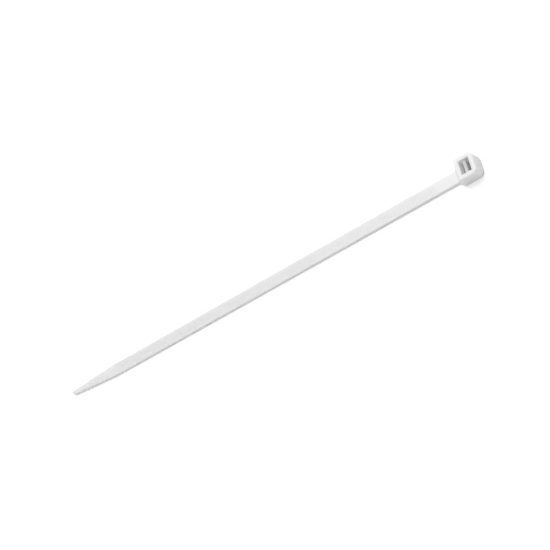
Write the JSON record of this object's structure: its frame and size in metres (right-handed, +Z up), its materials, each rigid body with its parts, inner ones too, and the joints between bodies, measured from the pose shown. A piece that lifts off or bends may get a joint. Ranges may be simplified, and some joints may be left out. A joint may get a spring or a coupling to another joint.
{
  "type": "cable tie",
  "caption": "White nylon cable tie: a flexible toothed strap with a pointed tail, a boxy head, and a slot with a pawl that locks the strap.",
  "frame": {"origin": "middle of the slot's mouth in the head's inner face, in the plane that the tie lies on", "axes": "+X along the strap from the tail to the head, +Y across the strap, +Z up through the slot, the way the tail leaves it"},
  "size_m": [0.15, 0.0062, 0.0045],
  "materials": {
    "white_nylon": "natural white moulded nylon, smooth with a soft sheen, slightly translucent"
  },
  "bodies": {
    "root": {"cable_tie": "white_nylon"}
  },
  "joints": []
}
